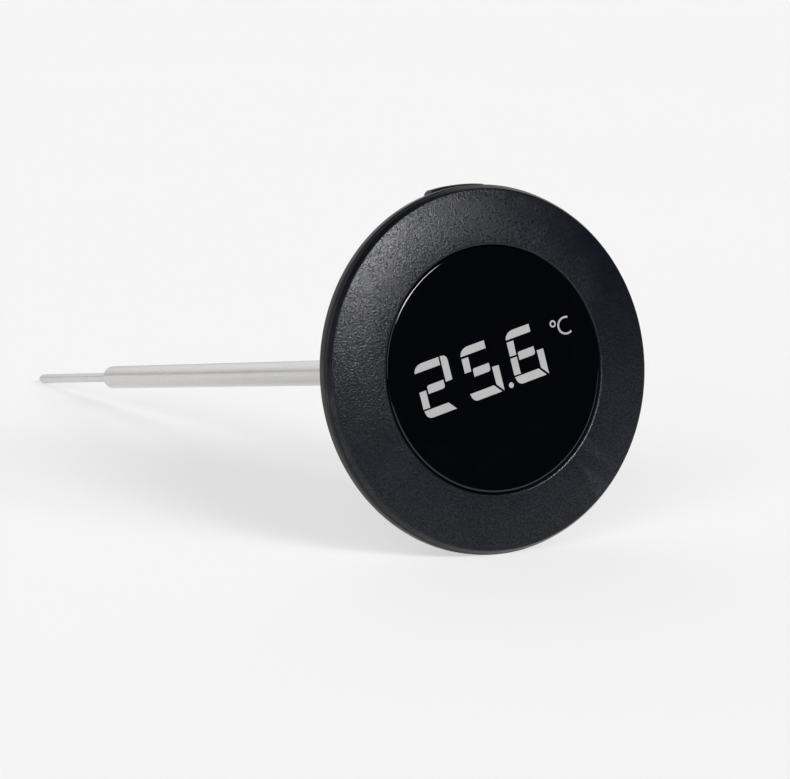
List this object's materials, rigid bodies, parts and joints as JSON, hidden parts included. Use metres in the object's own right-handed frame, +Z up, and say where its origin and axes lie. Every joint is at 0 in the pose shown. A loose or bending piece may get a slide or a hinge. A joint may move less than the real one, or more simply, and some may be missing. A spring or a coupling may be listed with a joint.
{
  "type": "soil thermometer probe",
  "caption": "Digital probe thermometer: thin round display head with a dark window on a long slim stainless stem that ends in a narrower sensing tip.",
  "frame": {"origin": "centre of the bounding box's bottom, with the object lying on the back edge of its rim and on the end of its tip", "axes": "+Z up, +Y along the stem towards the tip, the display faces -Y and 8.7 degrees upwards, +X to the right as seen from the front of the display"},
  "size_m": [0.0498, 0.1624, 0.0494],
  "materials": {
    "textured_black": "fine spark-eroded grain",
    "smooth_black": "satin",
    "smoked_lens": "polished",
    "stainless": "drawn and brushed",
    "black_rubber": "matte",
    "adhesive": "matte foam",
    "display_glass": "polished",
    "white_plastic": "satin",
    "green_board": "solder mask",
    "chip_epoxy": "matte",
    "tinned_steel": "plated",
    "red_insulation": "satin",
    "white_insulation": "satin",
    "thermistor_glass": "polished"
  },
  "bodies": {
    "head": {"front_bezel": "textured_black", "window_lens": "smoked_lens", "lens_adhesive_ring": "adhesive", "lcd_panel": "display_glass", "light_guide": "white_plastic", "backlight_led": "white_plastic", "contact_strip_upper": "black_rubber", "contact_strip_lower": "black_rubber", "display_carrier": "smooth_black", "circuit_board": "green_board", "controller_chip": "chip_epoxy", "quartz_crystal": "tinned_steel", "sensor_connector": "white_plastic", "switch_body": "chip_epoxy", "rear_housing": "smooth_black", "housing_seal": "black_rubber", "housing_screw_1": "tinned_steel", "housing_screw_2": "tinned_steel", "housing_screw_3": "tinned_steel", "housing_screw_4": "tinned_steel", "coin_cell": "tinned_steel", "cell_contact_negative": "tinned_steel", "cell_contact_positive": "tinned_steel", "stem_collar": "smooth_black", "stem_tube": "stainless", "stem_seal": "black_rubber", "stem_lock_washer": "tinned_steel", "sensing_tip": "stainless", "braze_bead": "stainless", "thermistor": "thermistor_glass", "sensor_lead_red": "red_insulation", "sensor_lead_white": "white_insulation"},
    "button": {"power_button": "smooth_black"},
    "plunger": {"switch_plunger": "black_rubber"},
    "door_seal": {"battery_door_seal": "black_rubber"},
    "door": {"battery_door": "smooth_black"}
  },
  "joints": [
    {"name": "button_press", "type": "slide", "parent": "head", "child": "button", "axis": [0.0593, -0.1511, -0.9867], "range_m": [0, 0.0005], "stiffness_N_per_m": 600, "springref_m": -0.0003},
    {"name": "plunger_press", "type": "slide", "parent": "head", "child": "plunger", "axis": [0.0593, -0.1511, -0.9867], "range_m": [0, 0.0007]},
    {"name": "door_lift", "type": "slide", "parent": "head", "child": "door_seal", "axis": [0, 0.9885, -0.1514], "range_m": [0, 0.012]},
    {"name": "door_turn", "type": "hinge", "parent": "door_seal", "child": "door", "pos_m": [0.00248, -0.0687, 0.01299], "axis": [0, 0.9885, -0.1514], "range_deg": [0, 90]}
  ],
  "couplings": [
    {"joint": "plunger_press", "follows": "button_press", "ratio": 1}
  ]
}
